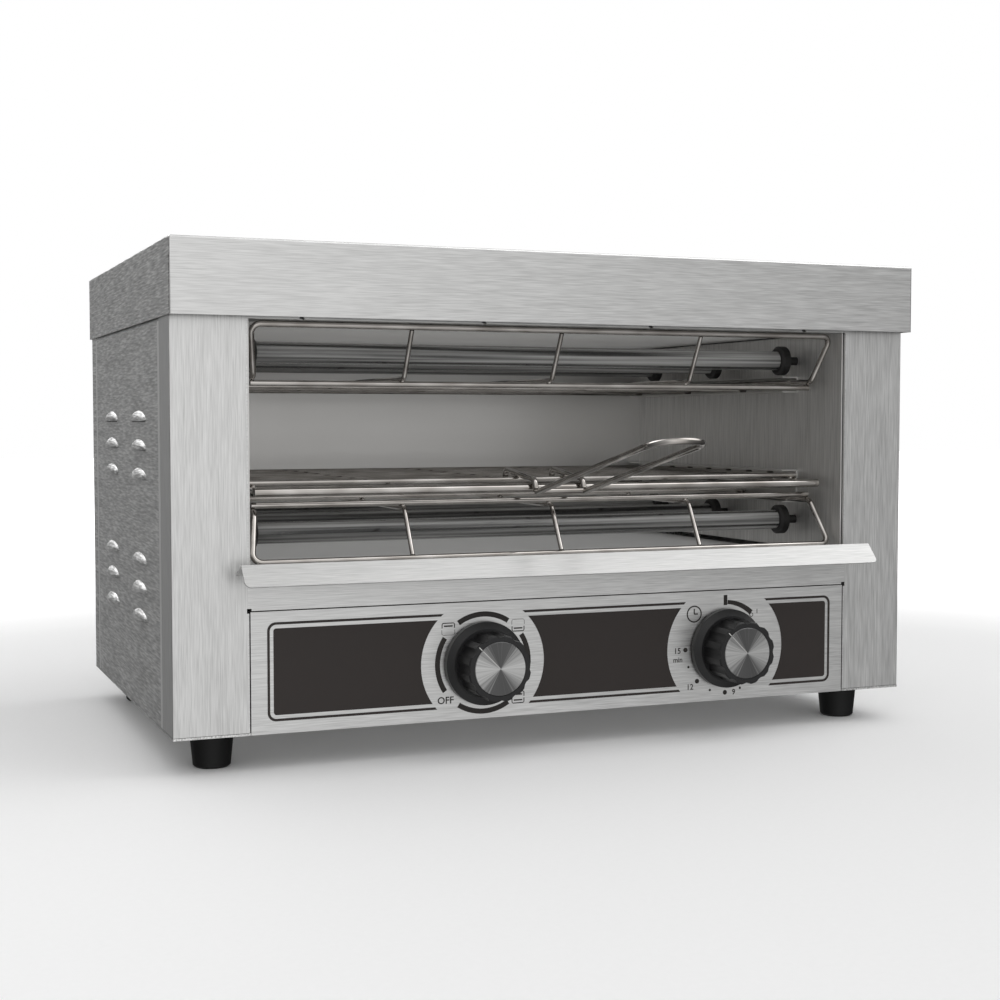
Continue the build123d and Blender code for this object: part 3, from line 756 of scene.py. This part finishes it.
@dataclass
class Casing(SubAssembly):
    """The folded steel casing with its feet, screws and cable bush."""

    sheet_edge_mm: float = 0.25
    plate_edge_mm: float = 0.2

    def dress(self) -> None:
        """Each sheet has its own grain; the side panels also carry painted highlight lines at their seams."""
        dress(HOOD_STEEL, "top_cover", "rear_panel", "control_panel", edge_mm=self.sheet_edge_mm)
        dress(FRAME_STEEL, "front_frame", edge_mm=self.plate_edge_mm)
        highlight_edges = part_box("front_frame")[1].y / MM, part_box("rear_panel")[0].y / MM
        # painted highlight: the side panels' front and rear seam edges are drawn as bright lines in the
        # colour
        painted_edge_highlight = replace(SIDE_STEEL, name="stainless_brushed_side_deburred", highlight_edges_mm=highlight_edges)
        dress(painted_edge_highlight, "side_panel_left", "side_panel_right")
        dress(SIDE_STEEL, "base_pan")
        dress(RUBBER, "rubber_feet")
        dress(PHENOLIC, "cable_bush")
        dress(ZINC, "foot_fixings", "rear_screws", "cover_screws")


@dataclass
class Chamber(SubAssembly):
    """The toasting chamber: walls, reflector, floor and the runners."""

    def dress(self) -> None:
        """Rolled sheet behind, baked above and below; brushed walls at the sides."""
        dress(CHAMBER_STEEL, "chamber_back")
        dress(BAKED_STEEL, "upper_reflector", "chamber_floor")
        dress(WALL_STEEL, "chamber_wall_left", "chamber_wall_right")
        for level in ("upper", "lower"):
            dress(CHAMBER_STEEL, f"runner_{level}_left", f"runner_{level}_right")


@dataclass
class WireWork(SubAssembly):
    """The two wire guards and the sliding rack, with the welds where their wires cross."""

    bead_mm: float = 1.3
    bead_squash: Place = (1.25, 1.25, 0.8)
    rails: int = 4
    bars: int = 3
    rods: int = 8

    def dress(self) -> None:
        """All wires are chromed."""
        for level in ("upper", "lower"):
            dress(WIRE_CHROME, *(f"{level}_guard_{part}" for part in ("loop", "rails", "bars")))
        dress(WIRE_CHROME, "rack_frame", "rack_rods", "rack_handle")

    def build(self) -> None:
        """Welds of the guards' long wires on their cross wires, and of the rack's rods on its frame."""
        for level, over in (("upper", 1), ("lower", -1)):
            low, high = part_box(f"{level}_guard_rails")
            radius = (high.z - low.z) / 2
            touch = (low.z + high.z) / 2 + over * radius
            depths = spread(low.y + radius, high.y - radius, self.rails)
            left, right = (corner.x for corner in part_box(f"{level}_guard_bars"))
            across = spread(left + radius, right - radius, self.bars)
            spots = [Vector((x, y, touch)) for x in across for y in depths]
            self.beads(f"{level}_guard_welds", spots, "casing")
        low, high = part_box("rack_rods")
        radius = (high.z - low.z) / 2
        depths = spread(low.y + radius, high.y - radius, self.rods)
        inset = 2 * radius
        spots = [Vector((x, y, low.z)) for x in (low.x + inset, high.x - inset) for y in depths]
        self.beads("rack_welds", spots, "toast_rack")

    def beads(self, name: str, spots: Iterable[Vector], body: str) -> None:
        """Small flattened weld beads.

        Args:
            name: the piece's name.
            spots: places of the welds.
            body: the body that carries them.
        """
        shape = bmesh.new()
        flat = Matrix.Diagonal((*self.bead_squash, 1))
        for spot in spots:
            bmesh.ops.create_icosphere(
                shape, subdivisions=2, radius=self.bead_mm * MM, matrix=Matrix.Translation(spot) @ flat
            )
        add_piece(name, shape, WIRE_CHROME, body, smooth=True)


@dataclass
class CrumbTray(SubAssembly):
    """The tray with its folded pull."""

    edge_mm: float = 0.2

    def dress(self) -> None:
        """One brushed sheet."""
        dress(TRAY_STEEL, "crumb_tray", edge_mm=self.edge_mm)


@dataclass
class HeatingTubes(SubAssembly):
    """Quartz tubes, their end caps, pins and the wound wires inside."""

    def dress(self) -> None:
        """Cloudy tubes between black caps."""
        for level in ("upper", "lower"):
            dress(QUARTZ, f"quartz_tubes_{level}")
            dress(STEATITE, f"ceramic_caps_{level}")
            dress(HEATER_WIRE, f"heater_cores_{level}")
        dress(ZINC, "element_pins")


@dataclass
class Dial(SubAssembly):
    """A skirted knob with its metal disc, shaft and pointer line."""

    name: str
    pointer_deg: float = -45.0
    rim_mm: Point = (15.0, 17.4)
    line_mm: Point = (0.3, 14.3)
    width_mm: float = 0.4
    ink_mm: float = 0.04

    def dress(self) -> None:
        """Black knob, spun disc with a painted reflection fan."""
        dress(PHENOLIC, f"{self.name}_knob")
        disc = f"{self.name}_disc"
        centre = tuple(middle(disc))
        # the disc's colour and shade are the bright and dark ends of its painted reflection fan
        spun = SpunAluminium(f"aluminium_spun_painted_fan_{self.name}", "#CBCBCA", "#606060", 0.34, centre)
        dress(spun, disc)
        dress(ZINC, f"{self.name}_shaft")

    def build(self) -> None:
        """A pale line across the rim and the disc, pointing to the setting."""
        centre = middle(f"{self.name}_disc")
        spot = (centre.x / MM, centre.z / MM)
        for piece, reach, finish, slot in (
            ("knob", self.rim_mm, PALE_INK, "black_plastic"),
            ("disc", self.line_mm, SCRIBED, "spun_aluminium"),
        ):
            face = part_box(f"{self.name}_{piece}")[0].y
            ink = Ink(face, self.ink_mm)
            sides = (-self.width_mm / 2, self.width_mm / 2)
            ink.strip(*([turned(spot, r, self.pointer_deg, side) for r in reach] for side in sides))
            ink.lay(f"{self.name}_{piece}_pointer", finish, f"{self.name}_dial")


@dataclass
class ControlPanel(SubAssembly):
    """The printed film and the signs round both knobs; angles run clockwise from the top."""

    ink_mm: float = 0.05
    arc_mm: Point = (25.6, 28.5)
    arc_half_deg: float = 33.0
    off_at_mm: Point = (-22.3, -19.6)
    off_mm: float = 4.0
    sign_mm: Point = (7.8, 7.0)
    sign_corner_mm: float = 1.2
    sign_gap_mm: float = 1.0
    sign_line_mm: Point = (0.25, 0.55)  # for a row of tubes that is off, and one that is on
    row_mm: Point = (5.2, 0.8)
    row_inset_mm: float = 1.9
    dots_mm: float = 26.6
    dot_mm: Point = (1.4, 0.75)  # at each number, and halfway between two
    digit_mm: float = 3.4
    min_mm: float = 2.8
    first_mm: float = 2.6
    hold_mm: Point = (25.2, 31.2)
    sweep_mm: float = 28.2
    sweep_deg: Point = (3.0, 41.0)
    sweep_wide_mm: Point = (2.4, 3.2)
    sweep_end_at: Point = (25.7, 43.3)  # millimetres out, and degrees round
    sweep_end_mm: Point = (1.25, 0.4)
    clock_at_mm: Point = (-20.9, 20.8)
    clock_mm: Point = (5.0, 0.8)
    hands_mm: Point = (3.1, 2.4)
    hand_wide_mm: float = 0.75

    def dress(self) -> None:
        """Dark film on the bare panel."""
        dress(FILM, "control_label")

    def build(self) -> None:
        """Signs printed on the bare steel inside the film's two round openings."""
        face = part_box("control_panel")[0].y
        selector = middle("selector_disc") / MM
        timer = middle("timer_disc") / MM
        ink = Ink(face, self.ink_mm)
        self.heat_signs(ink, (selector.x, selector.z))
        self.minute_signs(ink, (timer.x, timer.z))
        ink.lay("panel_signs", INK, "casing")

    def heat_signs(self, ink: Ink, spot: Point) -> None:
        """Four arcs, and between them OFF and the signs for heat above, heat below and both.

        Args:
            ink: the print to add to.
            spot: the knob's middle.
        """
        for turn in (0, 90, 180, 270):
            ink.arc(spot, self.arc_mm, turn - self.arc_half_deg, turn + self.arc_half_deg)
        for dx, dz, above, below in (
            (-20.7, 19.7, True, False), (20.8, 19.8, False, True), (20.8, -20.6, True, True),
        ):
            self.heat_sign(ink, (spot[0] + dx, spot[1] + dz), above, below)
        ink.words("OFF", (spot[0] + self.off_at_mm[0], spot[1] + self.off_at_mm[1]), self.off_mm)

    def heat_sign(self, ink: Ink, spot: Point, above: bool, below: bool) -> None:
        """A slot drawn as two brackets; a bar stands for each row of tubes that is on.

        Args:
            ink: the print to add to.
            spot: the sign's middle.
            above: whether the upper row is on.
            below: whether the lower row is on.
        """
        wide, tall = (size / 2 for size in self.sign_mm)
        corner = self.sign_corner_mm
        outline = [(-wide, self.sign_gap_mm / 2), (-wide, tall - corner)]
        for turn in QUARTER:
            outline.append((-wide + corner * (1 - math.cos(turn)), tall - corner * (1 - math.sin(turn))))
        outline += [(-x, z) for x, z in reversed(outline)]
        for side, lit in ((1, above), (-1, below)):
            line = self.sign_line_mm[lit]
            inner = [(x * (1 - line / wide), min(z, tall - line)) for x, z in outline]
            ink.strip(*([(spot[0] + x, spot[1] + side * z) for x, z in row] for row in (outline, inner)))
            if lit:
                reach, thick = self.row_mm[0] / 2, self.row_mm[1]
                row_z = spot[1] + side * (tall - self.row_inset_mm)
                ink.bar((spot[0] - reach, row_z), (spot[0] + reach, row_z), thick)

    def minute_signs(self, ink: Ink, spot: Point) -> None:
        """Dots and numbers for the minutes, a clock, and the arc from hold to the first minute.

        Args:
            ink: the print to add to.
            spot: the knob's middle.
        """
        for turn in (90, 135, 180, 225, 270):
            ink.dot(turned(spot, self.dots_mm, turn), self.dot_mm[0])
        for turn in (67.5, 112.5, 157.5, 202.5, 247.5):
            ink.dot(turned(spot, self.dots_mm, turn), self.dot_mm[1])
        digit = self.digit_mm
        for word, dx, dz, tall in (
            ("3", 31.5, 0.2, digit), ("6", 21.3, -20.0, digit), ("9", 5.9, -26.6, digit),
            ("12", -23.1, -21.9, digit), ("15", -31.6, -0.3, digit),
            ("min", -31.6, -5.6, self.min_mm), ("1", 21.5, 20.7, self.first_mm),
        ):
            ink.words(word, (spot[0] + dx, spot[1] + dz), tall)
        ink.bar(*(turned(spot, reach, 0) for reach in self.hold_mm), self.sweep_wide_mm[0])
        ink.taper(spot, self.sweep_mm, self.sweep_deg, self.sweep_wide_mm)
        ink.ring(turned(spot, *self.sweep_end_at), *self.sweep_end_mm)
        clock = (spot[0] + self.clock_at_mm[0], spot[1] + self.clock_at_mm[1])
        ink.ring(clock, *self.clock_mm)
        ink.bar(clock, (clock[0], clock[1] + self.hands_mm[0]), self.hand_wide_mm)
        ink.bar(clock, (clock[0] + self.hands_mm[1], clock[1]), self.hand_wide_mm)


@dataclass
class Innards(SubAssembly):
    """Switch, timer and terminal block behind the panel."""

    def dress(self) -> None:
        """Pressed thermoset, plated case and glazed porcelain."""
        dress(THERMOSET, "selector_switch")
        dress(ZINC, "timer_body", "control_screws")
        dress(PORCELAIN, "terminal_block")


@dataclass
class Studio:
    """Pale floor, soft light all round and the camera at the photograph's angle."""

    camera_at: Place = (-0.375, -0.8838, 0.185)
    yaw_deg: float = 22.25
    pitch_deg: float = 2.87
    lens_mm: float = 57.29
    sensor_mm: float = 36.0
    floor_m: float = 14.0
    front: float = 1.2
    behind: float = 0.31
    right: float = 0.3  # this and the next two dim the light that comes from their side
    left: float = 0.45
    below: float = 0.72
    fill_w: Point = (0.11, 0.24)
    fill_m: Point = (0.34, 0.22)
    # Each lamp's direction, the cosine where its glow begins, and its powers on matt things and in mirrors
    lamps: tuple[tuple[Place, float, Point], ...] = (
        ((0.0, 0.0, 1.0), 0.2, (0.54, 0.25)),
        ((0.66, -0.13, 0.74), 0.8, (1.2, 2.5)),
        ((-0.35, 0.65, 0.68), 0.86, (0.0, 3.2)),
    )

    def build(self) -> None:
        """Set the camera, floor and light."""
        self.camera()
        self.floor()
        self.sky()
        self.fill()
        bpy.context.scene.view_settings.view_transform = "Standard"

    def camera(self) -> None:
        """A camera fitted to the casing's edges in the photograph."""
        lens = bpy.data.cameras.new("camera")
        lens.lens = self.lens_mm
        lens.sensor_width = self.sensor_mm
        lens.clip_start = 0.01
        camera = bpy.data.objects.new("camera", lens)
        camera.location = self.camera_at
        camera.rotation_euler = Euler((math.radians(90 - self.pitch_deg), 0, math.radians(-self.yaw_deg)))
        bpy.context.scene.collection.objects.link(camera)
        bpy.context.scene.camera = camera

    def floor(self) -> None:
        """A wide pale sweep of paper; it isn't mirrored in the casing, as in the photograph."""
        shape = bmesh.new()
        bmesh.ops.create_grid(shape, x_segments=1, y_segments=1, size=self.floor_m / 2)
        mesh = bpy.data.meshes.new("floor")
        shape.to_mesh(mesh)
        shape.free()
        mesh.materials.append(PAPER.material())
        floor = bpy.data.objects.new("floor", mesh)
        floor.visible_glossy = False
        bpy.context.scene.collection.objects.link(floor)

    def sky(self) -> None:
        """Light all round, bright in front; each lamp has one power on matt things and one in mirrors."""
        world = bpy.data.worlds.new("studio")
        bpy.context.scene.world = world
        world.use_nodes = True
        tree = world.node_tree
        tree.nodes.clear()
        way = add_node(tree, "ShaderNodeTexCoord").outputs["Generated"]
        part = add_node(tree, "ShaderNodeSeparateXYZ", {0: way})
        level: float | bpy.types.NodeSocket = self.behind
        for axis, (start, stop), change in (
            ("Y", (0.4, -0.95), self.front / self.behind), ("X", (0.1, 0.75), self.right),
            ("X", (-0.25, -0.8), self.left), ("Z", (0.05, -0.35), self.below),
        ):
            factor = add_node(tree, "ShaderNodeMapRange", {
                "Value": part.outputs[axis], "From Min": start, "From Max": stop,
                "To Min": 1.0, "To Max": change,
            }, interpolation_type="SMOOTHSTEP").outputs[0]
            level = add_node(tree, "ShaderNodeMath", {0: level, 1: factor}, operation="MULTIPLY").outputs[0]
        path = add_node(tree, "ShaderNodeLightPath").outputs
        for aim, near, (matt, mirrored) in self.lamps:
            facing = add_node(
                tree, "ShaderNodeVectorMath", {0: way, 1: Vector(aim).normalized()}, operation="DOT_PRODUCT"
            )
            power = add_node(tree, "ShaderNodeMix", {0: path["Is Glossy Ray"], 2: matt, 3: mirrored})
            glow = add_node(tree, "ShaderNodeMapRange", {
                "Value": facing.outputs["Value"], "From Min": near, "From Max": 1.0,
                "To Max": power.outputs[0],
            }, interpolation_type="SMOOTHSTEP").outputs[0]
            level = add_node(tree, "ShaderNodeMath", {0: glow, 1: level}, operation="ADD").outputs[0]
        shown = add_node(tree, "ShaderNodeMix", {0: path["Is Camera Ray"], 2: level, 3: 1.0})
        light = add_node(tree, "ShaderNodeBackground", {"Color": (1, 1, 1, 1), "Strength": shown.outputs[0]})
        add_node(tree, "ShaderNodeOutputWorld", {"Surface": light.outputs[0]})

    def fill(self) -> None:
        """Dim lamps above and below the tubes lift the chamber's ceiling and floor; neither is mirrored."""
        heights = (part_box("quartz_tubes_upper")[1].z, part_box("quartz_tubes_lower")[0].z)
        for power, height, tilt in zip(self.fill_w, heights, (math.pi, 0.0)):
            lamp = bpy.data.lights.new("chamber_fill", "AREA")
            lamp.shape = "RECTANGLE"
            lamp.size, lamp.size_y = self.fill_m
            lamp.energy = power
            holder = bpy.data.objects.new("chamber_fill", lamp)
            holder.location = (0.0, middle("chamber_floor").y, height)
            holder.rotation_euler = Euler((tilt, 0.0, 0.0))
            holder.visible_camera = False
            holder.visible_glossy = False
            bpy.context.scene.collection.objects.link(holder)


def main() -> None:
    """Dress every sub-assembly in order and set the studio."""
    logging.basicConfig(level=logging.INFO, format="%(name)s: %(message)s")
    for part in (
        Casing(), Chamber(), WireWork(), CrumbTray(), HeatingTubes(), Dial("selector"), Dial("timer"),
        ControlPanel(), Innards(),
    ):
        part.dress()
        part.build()
    Studio().build()


if __name__ == "__main__":
    main()
